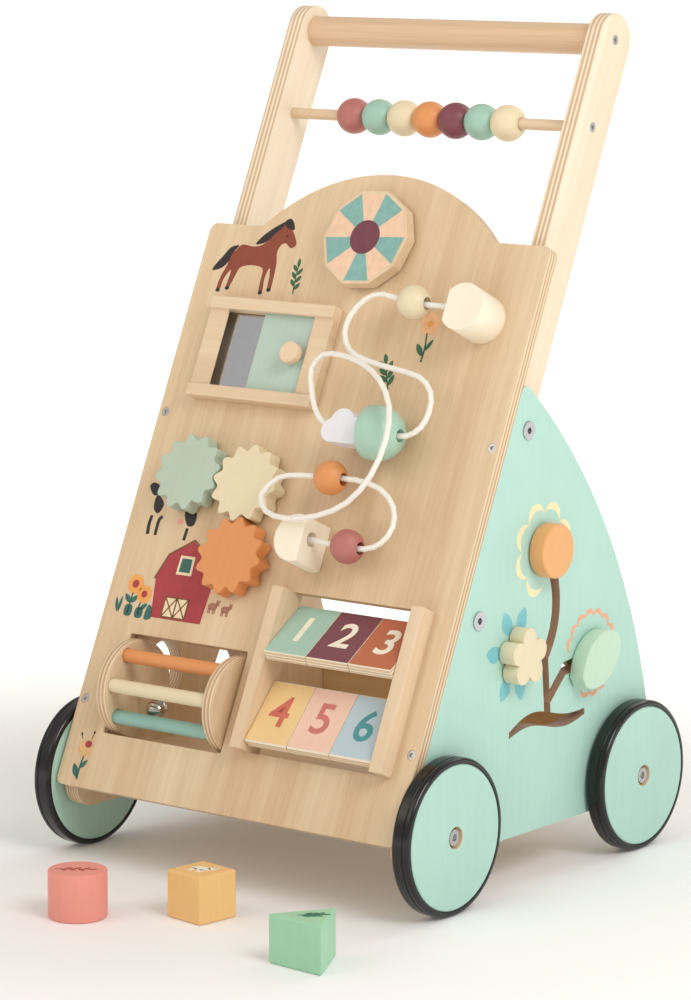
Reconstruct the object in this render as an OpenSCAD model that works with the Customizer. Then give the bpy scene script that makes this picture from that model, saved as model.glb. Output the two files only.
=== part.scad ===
// Wooden activity baby walker: a push-along frame on four rubber-tyred wheels, with a
// leaning activity panel, two side panels, a storage box and three shape blocks.
// +Z is up, the activity panel faces -Y and leans back, and the floor is z = 0.
// Most parts are drawn on the panel: u runs along X, v up its face, n behind it.

/* [Panel] */
// Width of the activity panel
panel_w = 300; // [298:1:304]
// Height of the panel's shoulders, along its face
panel_h = 423; // [415:1:450]
// Thickness of the plywood panel
panel_t = 9; // [7:0.5:10]
// Backward lean of the panel, in degrees
tilt = 24.5; // [24:0.1:25]
// Height of the panel's lower front edge above the floor
panel_foot = 54; // [52:0.5:56]
// Radius of the arch on top of the panel
arch_r = 140; // [130:1:160]

/* [Handle] */
// Thickness of the plywood posts
post_t = 12; // [10:0.5:12]
// Depth of the posts, from front to back
post_d = 37; // [32:1:42]
// Height of the handle's axis, along the panel's face
handle_v = 585.5; // [560:0.5:640]
// Diameter of the handle bar
handle_d = 22; // [16:0.5:30]
// Height of the bead rod's axis, along the panel's face
rod_v = 520.5; // [515:0.5:530]
// Diameter of the bead rod
rod_d = 8; // [6:0.5:9]
// Diameter of the counting beads
bead_d = 26; // [20:0.5:30]
// Width of a counting bead along its rod
bead_w = 22.4; // [18:0.2:22.4]

/* [Wheels] */
// Outer diameter of the tyres
tyre_d = 108; // [100:1:112]
// Thickness of the rubber ring
tyre_wall = 4; // [3:0.5:8]
// Width of a wheel
wheel_w = 14; // [10:0.5:18]
// Distance of the front axle behind the panel's lower front edge
front_axle_y = 47.5; // [44:0.5:56]
// Distance of the rear axle behind the panel's lower front edge
rear_axle_y = 276; // [250:1:280]
// Diameter of the wheel bolts' shoulders
axle_d = 8; // [6:0.5:10]

/* [Side panels] */
// Thickness of the plywood side panels
side_t = 12; // [10:0.5:12]
// Height of the side panels' lower edge above the floor
side_foot = 34.5; // [30:0.5:40]
// Radius of the side panels' rear edge
rear_r = 437.5; // [437:0.1:439]
// Thickness of the storage box's boards
board_t = 8; // [6:0.5:9]
// Height of the storage box's rear board, from its floor
box_h = 45; // [30:1:48]

/* [Toys] */
// Pitch of two meshed gears, centre to centre
gear_pitch = 53; // [52:0.5:53]
// Thickness of the gears
gear_t = 12.5; // [8:0.5:14]
// Radius of the ten-sided spinner
spinner_r = 36.5; // [30:0.5:40]
// Radius of the drum's end discs
drum_r = 35; // [30:0.5:36]
// Diameter of the drum's bars
drum_bar_d = 10; // [8:0.5:11]
// Length of a number tile
tile_l = 50; // [40:0.5:54]
// Thickness of a number tile
tile_t = 7; // [5:0.5:9]
// Tilt of the upper row of tiles out of the panel, in degrees
upper_tile_tilt = 34; // [0:1:60]
// Tilt of the lower row of tiles out of the panel, in degrees
lower_tile_tilt = 18.5; // [0:1:60]
// Thickness of the bead maze's wire
wire_d = 4; // [3:0.25:5]
// Size of the three loose blocks
block = 33; // [28:0.5:34]

/* [Hidden] */
$fn = 48;
TEETH = 12;
TEAL = [0.53, 0.69, 0.66];
MINT = [0.69, 0.86, 0.8];
PLY = [0.85, 0.76, 0.61];
BEECH = [0.8, 0.66, 0.5];
CREAM = [0.94, 0.89, 0.76];
ORANGE = [0.87, 0.58, 0.33];
PLUM = [0.47, 0.25, 0.3];
ROSE = [0.69, 0.42, 0.42];
CORAL = [0.93, 0.6, 0.52];
YELLOW = [0.95, 0.79, 0.52];
STEEL = [0.75, 0.76, 0.78];
BLACK = [0.08, 0.08, 0.09];

eps = 0.01;
fit = 0.05;              // radial clearance of a pin in its bore
half_w = panel_w / 2;
side_in = half_w - side_t;   // inner face of the side panels
post_in = side_in - post_t;  // inner face of the posts
post_n = panel_t + post_d / 2;
post_foot = 125;
foot_r = 16;             // corner radii of the side panels
heel_r = 20;
peak_r = 6;
tyre_r = tyre_d / 2;
wheel_in = half_w + 1.5;
hub_recess_d = 15;
hub_recess = 5;
bolt_head_d = 11;
arch_top = panel_h + 44.5;

// Counting beads, which sit a little left of the rod's middle
bead_pitch = 22.7;
bead_shift = -1.6;
bead_colors = [ROSE, TEAL, CREAM, ORANGE, PLUM, TEAL, CREAM];

// Screws and bolts
screw_u = half_w - side_t / 2;
screw_v = [63, 278];
screw_d = 4;
screw_head_d = 7;
bolt_v = [164.5, 300];
bolt_d = 6;
cap_d = 13;

// Activity openings, as [left, lower, right, upper] on the panel's face
drum_win = [-120, 41, -12.5, 114.5];
tile_win = [3.5, 45.5, 133, 160.7];
rail_w = 10;
rail_front = 13.5;

// Window with its sliding door
win = [-122, 290, -10, 365];
win_rail = 9;
door_l = -73.5;
door_w = 49.5;
door_n = -5.8;
door_t = 3.6;
door_pin_d = 5;
rail_n = -11;             // front faces of the rails and the stiles
stile_n = -8.5;
groove_n = -6.4;
groove = 1.8;
knob_at = [-36, 327];

gear_gap = 1.5;
cream_gear = [-44.8, 230];
mint_line = 177;         // direction from the cream gear to the mint one
orange_line = -86;       // direction from the cream gear to the orange one
mint_gear = cream_gear + gear_pitch * [cos(mint_line), sin(mint_line)];
orange_gear = cream_gear + gear_pitch * [cos(orange_line), sin(orange_line)];
tooth_pitch = 360 / TEETH;
cream_lead = (mint_line - orange_line) % tooth_pitch;
gear_mid_r = gear_pitch / 2 - 0.5;
tooth_h = 2.5;
pin_d = 8;
spinner_at = [0, 416.5];
spinner_t = 10;

drum_v = 78;
drum_n = panel_t + 3.5;
drum_disc_t = 9;
drum_bar_r = drum_r - 7;
drum_bar_turns = [42, -10, -60];
drum_pocket = 5;          // depth of the blind pockets that hold the bars
drum_axle_d = 5;
bell_u = -88;
bell_r = 8;
bell_drop = 13;
drum_left = drum_win[0] + 1.2;
drum_right = drum_win[2] - 1.2;

row_v = [132, 74];
row_n = -1;
row_rod_d = 6;
tile_gap = 0.6;
tile_x0 = tile_win[0] + rail_w;
tile_w = (tile_win[2] - tile_win[0] - 2 * rail_w - 4 * tile_gap) / 3;

// Bead maze: its two posts and the wire's route, as [u, n, v]
maze_upper = [111, 366.5];
maze_lower = [23.5, 192.5];
maze_post_r = 17;
maze_post_h = 30;
upper_flat = 13.3;
lower_flat = 6.5;
wire_route = [
    [104, -18, 369], [97, -18, 369], [80, -18, 369], [56, -18, 370], [34, -18, 374],
    [20, -18, 369], [12, -19, 356], [12, -20, 343], [20, -20, 331], [36, -20, 325],
    [60, -20, 321], [84, -20, 317], [97, -20, 307], [101, -21, 293], [98, -22, 281],
    [88, -22, 274], [70, -22, 273.5], [54, -22, 274], [36, -22, 274.5], [18, -22, 276],
    [6, -22, 286], [-1, -23, 300], [-5, -24, 314], [4, -27, 324], [22, -31, 324],
    [46, -36, 318], [69, -42, 306], [86, -46, 287], [92, -48, 263], [86, -46, 238],
    [68, -40, 219], [44, -37, 208], [16, -34, 204], [-6, -30, 208], [-17, -26, 220],
    [-9, -23, 234], [8, -22, 238], [30, -21, 239], [54, -20, 240], [76, -19, 236],
    [90, -18, 225], [94, -18, 211], [88, -18, 199], [76, -18, 193.5], [58, -18, 193],
    [42, -18, 194], [31, -18, 195], [22, -18, 195]
];
route_steps = 2;
bore_d = 9;
ball_r = 12;

// Maze beads: [u, n, v] of each centre
cream_ball_at = [62, -18, 370];
dome_at = [64, -22, 273.8];
cloud_at = [38, -22, 274.3];
orange_ball_at = [34, -21, 239];
rose_ball_at = [61, -18, 193.5];

// Plant track on the right side panel, as [y, z]
stem_centre = [129.7, 191.6];
stem_r = 55.6;
stem_start = 45;
stem_end = -40;
trunk_foot = [176.5, 112];
branch_a = [225, 146.3];
branch_b = [197, 143];
branch_c = [176.5, 124];
flower_at = [136, 162];
slot_w = 9.6;
spindle_d = 8;
knob_t = 12;
knob_gap = 1;

// Shape-sorting holes in the left side panel, as [y, z]
round_hole = [105, 120];
square_hole = [158, 205];
triangle_hole = [178, 112];
hole_play = 1.5;

// Loose blocks, as [x, y] on the floor
cylinder_d = block + 7;
prism_side = block + 13;
cylinder_at = [-33, -108];
cube_at = [33, -58];
prism_at = [160, -104];

box_floor_z = panel_foot + 8;
box_rear_y = 291.4;

function arc(c, r, a0, a1, steps) =
    [for (i = [0:steps]) let (a = a0 + (a1 - a0) * i / steps) c + r * [cos(a), sin(a)]];

// Catmull-Rom spline through the wire's route
function spline(p, i, t) =
    let (a = p[max(i - 1, 0)], b = p[i], c = p[i + 1], d = p[min(i + 2, len(p) - 1)])
    0.5 * (2 * b + (c - a) * t + (2 * a - 5 * b + 4 * c - d) * t * t
        + (3 * b - a - 3 * c + d) * t * t * t);
function smooth(p, steps) = [
    for (i = [0:len(p) - 2]) for (k = [0:steps - 1]) spline(p, i, k / steps),
    p[len(p) - 1]
];
function unit(v) = v / norm(v);

// ---- Helpers ----

// Places its children in the panel's axes: x = u, y = n, z = v
module on_panel() translate([0, 0, panel_foot]) rotate([-tilt, 0, 0]) children();

// Extrudes an outline drawn in u and v from depth n0 to depth n1
module plate(n0, n1) translate([0, n1, 0]) rotate([90, 0, 0]) linear_extrude(n1 - n0) children();

// Extrudes an outline drawn in y and z from x0 to x1
module side_plate(x0, x1) translate([x0, 0, 0])
    rotate([90, 0, 90]) linear_extrude(x1 - x0) children();

// Cylinder along X from x0 to x1
module x_rod(d, x0, x1, fn = 48) translate([x0, 0, 0]) rotate([0, 90, 0])
    cylinder(d = d, h = x1 - x0, $fn = fn);

// Cylinder along n from n0 to n1, at u and v
module n_rod(d, n0, n1, at) translate([at[0], n1, at[1]]) rotate([90, 0, 0])
    cylinder(d = d, h = n1 - n0);

module rounded_rect(b, r) {
    translate([b[0] + r, b[1]]) square([b[2] - b[0] - 2 * r, b[3] - b[1]]);
    translate([b[0], b[1] + r]) square([b[2] - b[0], b[3] - b[1] - 2 * r]);
    for (x = [b[0] + r, b[2] - r], y = [b[1] + r, b[3] - r]) translate([x, y]) circle(r);
}

module corner_box(b, n0, n1) translate([b[0], n0, b[1]]) cube([b[2] - b[0], n1 - n0, b[3] - b[1]]);

// ---- Frame ----

// Outline of the panel in u and v: rounded corners and shoulders that flow into the arch
module panel_outline() {
    corner = 6;
    fillet = 8;
    arch_c = [0, arch_top - arch_r];
    rise = panel_h + fillet - arch_c[1];
    fillet_u = sqrt(pow(arch_r + fillet, 2) - rise * rise);
    join = atan2(rise, fillet_u);
    right = half_w - corner;
    polygon(concat(
        arc([-right, corner], corner, 180, 270, 6),
        arc([right, corner], corner, 270, 360, 6),
        arc([right, panel_h - corner], corner, 0, 90, 6),
        arc([fillet_u, panel_h + fillet], fillet, 270, 180 + join, 6),
        arc(arch_c, arch_r, join, 180 - join, 60),
        arc([-fillet_u, panel_h + fillet], fillet, -join, -90, 6),
        arc([-right, panel_h - corner], corner, 90, 180, 6)));
}

module front_panel() color(PLY) on_panel() difference() {
    plate(0, panel_t) difference() {
        panel_outline();
        rounded_rect(drum_win, 2);
        translate([tile_win[0], tile_win[1]])
            square([tile_win[2] - tile_win[0], tile_win[3] - tile_win[1]]);
    }
    for (s = [-1, 1], v = screw_v) {
        n_rod(screw_d + 2 * fit, -eps, panel_t + eps, [s * screw_u, v]);
        n_rod(screw_head_d + 2 * fit, -eps, 2.5, [s * screw_u, v]);
    }
    for (at = [mint_gear, cream_gear, orange_gear, spinner_at])
        n_rod(pin_d + 2 * fit, -eps, panel_t + eps, at);
}

// One post; side is -1 on the left and 1 on the right
module post(side) color(PLY) on_panel() difference() {
    x0 = side > 0 ? post_in : -side_in;
    translate([x0, 0, 0]) rotate([90, 0, 90]) linear_extrude(post_t) {
        translate([panel_t, post_foot]) square([post_d, handle_v - post_foot]);
        translate([post_n, handle_v]) circle(d = post_d, $fn = 96);
    }
    for (v = [handle_v, rod_v])
        translate([0, post_n, v]) x_rod(screw_d + 2 * fit, x0 - eps, x0 + post_t + eps);
    for (v = [handle_v, rod_v]) translate([0, post_n, v])
        x_rod(screw_head_d + 2 * fit, side > 0 ? side_in - 2.5 : -side_in - eps,
            side > 0 ? side_in + eps : -side_in + 2.5);
    for (v = bolt_v)
        translate([0, post_n, v]) x_rod(bolt_d + 2 * fit, x0 - eps, x0 + post_t + eps);
}
module left_post() post(-1);
module right_post() post(1);

// Bar between the posts with a pilot hole in each end
module post_bar(d, v) on_panel() translate([0, post_n, v]) difference() {
    x_rod(d, -post_in, post_in);
    x_rod(screw_d + 2 * fit, -post_in - eps, -post_in + 16);
    x_rod(screw_d + 2 * fit, post_in - 16, post_in + eps);
}
module handle_bar() color(BEECH) post_bar(handle_d, handle_v);
module bead_rod() color(PLY) post_bar(rod_d, rod_v);

// Depth of the panel's back face at height z
function panel_back_y(z) = (z - panel_foot) * tan(tilt) + panel_t / cos(tilt);

// Outline of a side panel in y and z: a straight front edge against the panel, a bowed
// rear edge and three rounded corners
module side_outline() {
    rear_c = [-124.6, 4.8];
    foot_c = [panel_back_y(side_foot + foot_r) + foot_r / cos(tilt), side_foot + foot_r];
    heel_z = side_foot + heel_r;
    heel_c = [rear_c[0] + sqrt(pow(rear_r - heel_r, 2) - pow(heel_z - rear_c[1], 2)), heel_z];
    // The top corner's centre lies on a line parallel to the front edge
    along = [sin(tilt), cos(tilt)];
    start = [panel_back_y(0) + peak_r / cos(tilt), 0] - rear_c;
    reach = -start * along + sqrt(pow(start * along, 2) - start * start + pow(rear_r - peak_r, 2));
    peak_c = rear_c + start + reach * along;
    heel_turn = atan2(heel_c[1] - rear_c[1], heel_c[0] - rear_c[0]);
    peak_turn = atan2(peak_c[1] - rear_c[1], peak_c[0] - rear_c[0]);
    polygon(concat(
        arc(foot_c, foot_r, 180 - tilt, 270, 12),
        arc(heel_c, heel_r, -90, heel_turn, 12),
        arc(rear_c, rear_r, heel_turn, peak_turn, 40),
        arc(peak_c, peak_r, peak_turn, 180 - tilt, 10)));
}

// Bores shared by both side panels, cut by a rod along X
module side_bores(x0, x1) {
    for (y = [front_axle_y, rear_axle_y])
        translate([0, y, tyre_r]) x_rod(axle_d + 2 * fit, x0, x1);
    on_panel() for (v = bolt_v) translate([0, post_n, v]) x_rod(bolt_d + 2 * fit, x0, x1);
    on_panel() for (s = [-1, 1], v = screw_v)
        n_rod(screw_d + 2 * fit, panel_t - 1, panel_t + 18, [s * screw_u, v]);
}

// Straight slot of width w between two points
module slot(a, b, w) {
    d = b - a;
    translate(a) circle(d = w);
    translate(b) circle(d = w);
    translate(a) rotate(atan2(d[1], d[0])) translate([0, -w / 2]) square([norm(d), w]);
}

// The plant: a curved stem, a branch and a wavy strip of ground
module plant_track() {
    r0 = stem_r - slot_w / 2;
    r1 = stem_r + slot_w / 2;
    polygon(concat(arc(stem_centre, r0, stem_start, stem_end, 16),
        arc(stem_centre, r1, stem_end, stem_start, 16)));
    for (a = [stem_start, stem_end])
        translate(stem_centre + stem_r * [cos(a), sin(a)]) circle(d = slot_w);
    slot(stem_centre + stem_r * [cos(stem_end), sin(stem_end)], trunk_foot, slot_w - 2);
    slot(branch_a, branch_b, slot_w);
    slot(branch_b, branch_c, slot_w - 1.6);
    wave = function (s) 109.5 + 4 * sin(360 * s) - 3 * (1 - 2 * s) * (1 - 2 * s) + 2 * s;
    thick = function (s) 2.2 + 3 * sin(180 * s);
    polygon(concat(
        [for (i = [0:20]) let (s = i / 20) [130 + 92 * s, wave(s) + thick(s)]],
        [for (i = [20:-1:0]) let (s = i / 20) [130 + 92 * s, wave(s) - thick(s)]]));
}

module left_side_panel() color(MINT) difference() {
    side_plate(-half_w, -side_in) difference() {
        side_outline();
        translate(round_hole) circle(d = cylinder_d + 2 * hole_play, $fn = 64);
        translate(square_hole) rotate(24) square(block + 2 * hole_play, center = true);
        translate(triangle_hole) rotate(90)
            circle(prism_side / sqrt(3) + 2 * hole_play, $fn = 3);
    }
    side_bores(-half_w - eps, -side_in + eps);
}

module right_side_panel() color(MINT) difference() {
    side_plate(side_in, half_w) difference() {
        side_outline();
        plant_track();
        translate(flower_at) circle(d = spindle_d + 2 * fit);
    }
    side_bores(side_in - eps, half_w + eps);
}

// The storage box's floor starts just behind the panel
box_front_y = panel_back_y(box_floor_z + board_t) + 1.2;

module storage_floor() color(PLY)
    translate([-side_in, box_front_y, box_floor_z])
        cube([2 * side_in, box_rear_y - box_front_y, board_t]);

module rear_board() color(PLY)
    translate([-side_in, box_rear_y + eps, box_floor_z]) cube([2 * side_in, board_t, box_h]);

// Panel screws, post screws and capped side bolts
module frame_screws() color(STEEL) on_panel() {
    for (s = [-1, 1], v = screw_v) difference() {
        union() {
            n_rod(screw_head_d, 0.3, 2.5, [s * screw_u, v]);
            n_rod(screw_d, 2, panel_t + 17.5, [s * screw_u, v]);
        }
        n_rod(3, -eps, 1.5, [s * screw_u, v], $fn = 6);
    }
    for (s = [-1, 1], v = [handle_v, rod_v]) translate([0, post_n, v]) mirror([s < 0 ? 1 : 0, 0, 0])
        difference() {
            union() {
                x_rod(screw_head_d, side_in - 2.5, side_in - 0.3);
                x_rod(screw_d, post_in - 14, side_in - 2);
            }
            x_rod(3, side_in - 1.5, side_in);
        }
    for (s = [-1, 1], v = bolt_v) translate([0, post_n, v]) mirror([s < 0 ? 1 : 0, 0, 0])
        difference() {
            union() {
                x_rod(cap_d, half_w, half_w + 1.2);
                x_rod(bolt_d, post_in, half_w + 0.5);
                x_rod(cap_d, post_in - 3, post_in);
            }
            x_rod(5, half_w - 2, half_w + 2, 6);
        }
}

// ---- Wheels ----

// Shoulder bolts that the wheels turn on, each with a nut inside the side panel
module wheel_bolts() color(STEEL)
    for (s = [-1, 1], y = [front_axle_y, rear_axle_y]) translate([0, y, tyre_r])
        mirror([s < 0 ? 1 : 0, 0, 0]) difference() {
            union() {
                x_rod(axle_d, side_in, wheel_in + wheel_w - hub_recess + 1);
                x_rod(bolt_head_d, wheel_in + wheel_w - hub_recess + 0.5,
                    wheel_in + wheel_w - hub_recess + 4);
                x_rod(axle_d + 6, side_in - 5, side_in);
                x_rod(axle_d + 5, half_w, wheel_in);
            }
            x_rod(5.5, wheel_in + wheel_w - 2.5, wheel_in + wheel_w + 1, 6);
        }

module wheel_disc(side, y) color(MINT) translate([0, y, tyre_r])
    mirror([side < 0 ? 1 : 0, 0, 0]) difference() {
        rotate([0, 90, 0]) translate([0, 0, wheel_in + 0.3]) rotate_extrude($fn = 120) difference() {
            square([tyre_r - tyre_wall - 0.05, wheel_w]);
            translate([tyre_r - tyre_wall - 1.2, wheel_w]) rotate(-45) square([4, 3]);
        }
        x_rod(axle_d + 2 * fit, wheel_in, wheel_in + wheel_w + 1);
        x_rod(hub_recess_d, wheel_in + wheel_w - hub_recess, wheel_in + wheel_w + 1);
    }

// Rubber ring with rounded shoulders and a shallow groove round its tread
module tyre(side, y) color(BLACK) translate([0, y, tyre_r])
    mirror([side < 0 ? 1 : 0, 0, 0]) rotate([0, 90, 0]) translate([0, 0, wheel_in])
        rotate_extrude($fn = 120) difference() {
            r = 2.6;
            inner = tyre_r - tyre_wall;
            polygon(concat([[inner, 0]], arc([tyre_r - r, r], r, -90, 0, 5),
                arc([tyre_r - r, wheel_w - r], r, 0, 90, 5), [[inner, wheel_w]]));
            translate([tyre_r, wheel_w * 0.68]) circle(0.7, $fn = 16);
        }

module wheel_front_left() wheel_disc(-1, front_axle_y);
module wheel_front_right() wheel_disc(1, front_axle_y);
module wheel_rear_left() wheel_disc(-1, rear_axle_y);
module wheel_rear_right() wheel_disc(1, rear_axle_y);
module tyre_front_left() tyre(-1, front_axle_y);
module tyre_front_right() tyre(1, front_axle_y);
module tyre_rear_left() tyre(-1, rear_axle_y);
module tyre_rear_right() tyre(1, rear_axle_y);

// ---- Window and sliding door ----

module window_frame() color(BEECH) on_panel() {
    for (v = [win[1], win[3] - win_rail]) difference() {
        corner_box([win[0], v, win[2], v + win_rail], rail_n, 0);
        inner_v = v == win[1] ? v + win_rail - groove : v - eps;
        corner_box([win[0] + 4, inner_v, win[2] - 4, inner_v + groove + eps], groove_n, -1.9);
    }
    for (s = [0, 1]) {
        outer = s == 0 ? win[0] : win[2] - 4;
        face = s == 0 ? win[0] : win[2] - 17;
        corner_box([face, win[1] + win_rail, face + 17, win[3] - win_rail], stile_n, groove_n);
        corner_box([outer, win[1] + win_rail, outer + 4, win[3] - win_rail], groove_n, 0);
    }
}

module mirror_sheet() color([0.72, 0.72, 0.78]) on_panel()
    corner_box([win[0] + 4, win[1] + win_rail, win[2] - 4, win[3] - win_rail], -1.8, 0);

module sliding_door() color(MINT) on_panel() difference() {
    corner_box([door_l, win[1] + win_rail - groove + 0.3, door_l + door_w,
        win[3] - win_rail + groove - 0.3], door_n, door_n + door_t);
    n_rod(door_pin_d + 2 * fit, door_n - eps, door_n + door_t + eps, knob_at);
}

module door_knob() color(BEECH) on_panel() {
    n_rod(16, door_n - 10, door_n - 4, knob_at);
    n_rod(8, door_n - 4.5, door_n, knob_at);
    n_rod(door_pin_d, door_n - 1, door_n + door_t - 0.2, knob_at);
}

// ---- Gears and spinner ----

// Wavy gear: meshed neighbours keep half a millimetre between tip and root
module gear(at, turn) on_panel() difference() {
    plate(-gear_gap - gear_t, -gear_gap) translate(at) polygon([for (i = [0:TEETH * 10 - 1])
        let (a = i * 36 / TEETH) (gear_mid_r + tooth_h * cos(TEETH * (a - turn)) - 0.2) * [cos(a), sin(a)]]);
    n_rod(pin_d + 2 * fit, -gear_gap - gear_t + 3, 0, at);
}
module mint_gear() color(TEAL) gear(mint_gear, mint_line + tooth_pitch / 2);
module cream_gear() color(CREAM) gear(cream_gear, mint_line);
module orange_gear() color(ORANGE) gear(orange_gear, orange_line + 180 + tooth_pitch / 2 - cream_lead);

module spinner() color(TEAL) on_panel() difference() {
    plate(-gear_gap - spinner_t, -gear_gap) translate(spinner_at) polygon(
        [for (i = [0:9]) let (a = 3.4 + 36 * i) spinner_r * [cos(a), sin(a)]]);
    n_rod(pin_d + 2 * fit, -gear_gap - spinner_t + 3, 0, spinner_at);
}

// Pins pressed through the panel, each with a spacing collar in front of it
module pivot_pins() color(BEECH) on_panel() {
    for (at = [mint_gear, cream_gear, orange_gear]) {
        n_rod(pin_d, -gear_gap - gear_t + 3.5, panel_t + 3, at);
        n_rod(16, -gear_gap + 0.3, 0, at);
        n_rod(14, panel_t, panel_t + 3, at);
    }
    n_rod(pin_d, -gear_gap - spinner_t + 3.5, panel_t + 3, spinner_at);
    n_rod(16, -gear_gap + 0.3, 0, spinner_at);
    n_rod(14, panel_t, panel_t + 3, spinner_at);
}

// ---- Bead maze ----

module maze_post(at, flat, side) on_panel() difference() {
    translate([at[0], 0, at[1]]) rotate([90, 0, 0]) linear_extrude(maze_post_h) difference() {
        circle(maze_post_r, $fn = 72);
        translate([side > 0 ? flat : -flat - 20, -20]) square([20, 40]);
    }
    end = side > 0 ? wire_route[len(wire_route) - 1] : wire_route[0];
    translate([0, end[1], end[2]])
        x_rod(10, side > 0 ? end[0] : at[0] - 20, side > 0 ? at[0] + 20 : end[0]);
}
module maze_upper_post() color(CREAM) maze_post(maze_upper, upper_flat, -1);
module maze_lower_post() color(CREAM) maze_post(maze_lower, lower_flat, 1);

// Coated wire: an eight-sided tube swept along the route
module maze_wire() color([0.95, 0.94, 0.88]) on_panel() {
    path = smooth(wire_route, route_steps);
    n = len(path);
    sides = 8;
    along = [for (i = [0:n - 1]) unit(path[min(i + 1, n - 1)] - path[max(i - 1, 0)])];
    rings = [for (i = [0:n - 1])
        let (a = unit(cross(along[i], [0, 1, 0])), b = cross(along[i], a))
        for (k = [0:sides - 1])
            path[i] + wire_d / 2 * (cos(360 * k / sides) * a + sin(360 * k / sides) * b)];
    polyhedron(rings, concat(
        [[for (k = [0:sides - 1]) k]],
        [[for (k = [0:sides - 1]) n * sides - 1 - k]],
        [for (i = [0:n - 2]) for (k = [0:sides - 1])
            [i * sides + k, (i + 1) * sides + k, (i + 1) * sides + (k + 1) % sides,
                i * sides + (k + 1) % sides]]));
}

module maze_ball(at) on_panel() translate(at) rotate([0, 90, 0]) {
    open_turn = acos(bore_d / 2 / ball_r);
    rotate_extrude($fn = 72) polygon(arc([0, 0], ball_r, -open_turn, open_turn, 18));
}
module maze_cream_ball() color(CREAM) maze_ball(cream_ball_at);
module maze_orange_ball() color(ORANGE) maze_ball(orange_ball_at);
module maze_rose_ball() color(ROSE) maze_ball(rose_ball_at);

// Dome bead: a short drum with a half ball on its right side
module maze_dome() color(MINT) on_panel() translate(dome_at) difference() {
    dome_r = 19;
    translate([-6, 0, 0]) rotate([0, 90, 0]) rotate_extrude($fn = 72) polygon(concat(
        [[0, 0], [dome_r, 0], [dome_r, 7]], arc([0, 7], dome_r, 5, 90, 16)));
    x_rod(bore_d, -7, 40);
}

module maze_cloud() color([0.9, 0.89, 0.94]) on_panel() translate(cloud_at) difference() {
    plate(-6, 6) {
        translate([-9, -3]) circle(8.5);
        translate([-2, 3]) circle(10);
        translate([8, -2]) circle(9.5);
        translate([-9, -11.5]) square([17, 12]);
    }
    x_rod(bore_d, -25, 25);
}

// ---- Drum ----

module drum_axis() on_panel() translate([0, drum_n, drum_v]) children();

// Cheeks glued behind the panel, which carry the drum's axle
module drum_cheeks() color(PLY) on_panel() for (b = [[-post_in, drum_win[0]], [drum_win[2], -3]])
    difference() {
        translate([b[0], panel_t, drum_v - 18]) cube([b[1] - b[0], 26, 36]);
        translate([0, drum_n, drum_v]) x_rod(drum_axle_d + 2 * fit, b[0] - 1, b[1] + 1);
    }

// End discs, each with blind pockets for the bars in its inner face
module drum_discs() color(PLY) drum_axis() for (end = [[drum_left, 1], [drum_right, -1]])
    difference() {
        inner = end[0] + end[1] * drum_disc_t;
        x_rod(2 * drum_r, min(end[0], inner), max(end[0], inner), 96);
        x_rod(drum_axle_d + 2 * fit, min(end[0], inner) - 1, max(end[0], inner) + 1);
        for (a = drum_bar_turns) rotate([-a, 0, 0]) translate([0, -drum_bar_r, 0])
            x_rod(drum_bar_d + 2 * fit, inner - drum_pocket, inner + drum_pocket);
    }

module drum_bars() color(ORANGE) drum_axis() for (a = drum_bar_turns)
    rotate([-a, 0, 0]) translate([0, -drum_bar_r, 0])
        x_rod(drum_bar_d, drum_left + drum_disc_t - drum_pocket + fit,
            drum_right - drum_disc_t + drum_pocket - fit);

// Steel axle with a jingle bell hanging from a ring
module drum_bell_axle() color(STEEL) drum_axis() {
    x_rod(drum_axle_d, drum_win[0] - 4, drum_win[2] + 6);
    translate([bell_u, 0, -bell_drop]) sphere(bell_r);
    translate([bell_u, 0, -bell_drop + bell_r - 1]) cylinder(d = 2, h = bell_drop - bell_r);
}

// ---- Number tiles ----

module number_frame() color(BEECH) on_panel() {
    for (x = [tile_win[0], tile_win[2] - rail_w]) difference() {
        corner_box([x, tile_win[1], x + rail_w, tile_win[3]], -rail_front, panel_t);
        for (v = row_v) translate([0, row_n, v]) x_rod(row_rod_d, x - 1, x + rail_w + 1);
    }
    for (v = row_v) translate([0, row_n, v])
        x_rod(row_rod_d, tile_win[0], tile_win[2]);
}

// Tile: a chamfered bar bored for its row's rod
module tile(row, column, tone) color(tone) on_panel() {
    x = tile_x0 + tile_gap + column * (tile_w + tile_gap);
    chamfer = 1.4;
    a = tile_l / 2;
    b = tile_t / 2;
    translate([0, row_n, row_v[row]])
        rotate([row == 0 ? -upper_tile_tilt : -lower_tile_tilt, 0, 0]) difference() {
            side_plate(x, x + tile_w) polygon([[-b, chamfer - a], [chamfer - b, -a], [b, -a],
                [b, a], [chamfer - b, a], [-b, a - chamfer]]);
            x_rod(row_rod_d + 2 * fit, x - 1, x + tile_w + 1);
        }
}
module tile_1() tile(0, 0, MINT);
module tile_2() tile(0, 1, PLUM);
module tile_3() tile(0, 2, ORANGE);
module tile_4() tile(1, 0, YELLOW);
module tile_5() tile(1, 1, [0.93, 0.8, 0.76]);
module tile_6() tile(1, 2, [0.72, 0.78, 0.85]);

// ---- Side knobs ----

// Spindle and inner flange that hold a knob in its slot
module knob_spindle(at) translate([0, at[0], at[1]]) {
    x_rod(spindle_d, side_in - 4, half_w + knob_gap + 2);
    x_rod(spindle_d + 9, side_in - 5, side_in - 0.8);
}

module round_knob() color(ORANGE) {
    at = stem_centre + stem_r * [cos(stem_start), sin(stem_start)];
    translate([0, at[0], at[1]])
        x_rod(38, half_w + knob_gap, half_w + knob_gap + knob_t, 72);
    knob_spindle(at);
}

module flower_knob() color(CREAM) {
    side_plate(half_w + knob_gap, half_w + knob_gap + knob_t) translate(flower_at) {
        circle(12);
        for (i = [0:4]) rotate(90 + 72 * i) translate([12.5, 0]) circle(7.8);
    }
    knob_spindle(flower_at);
}

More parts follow.
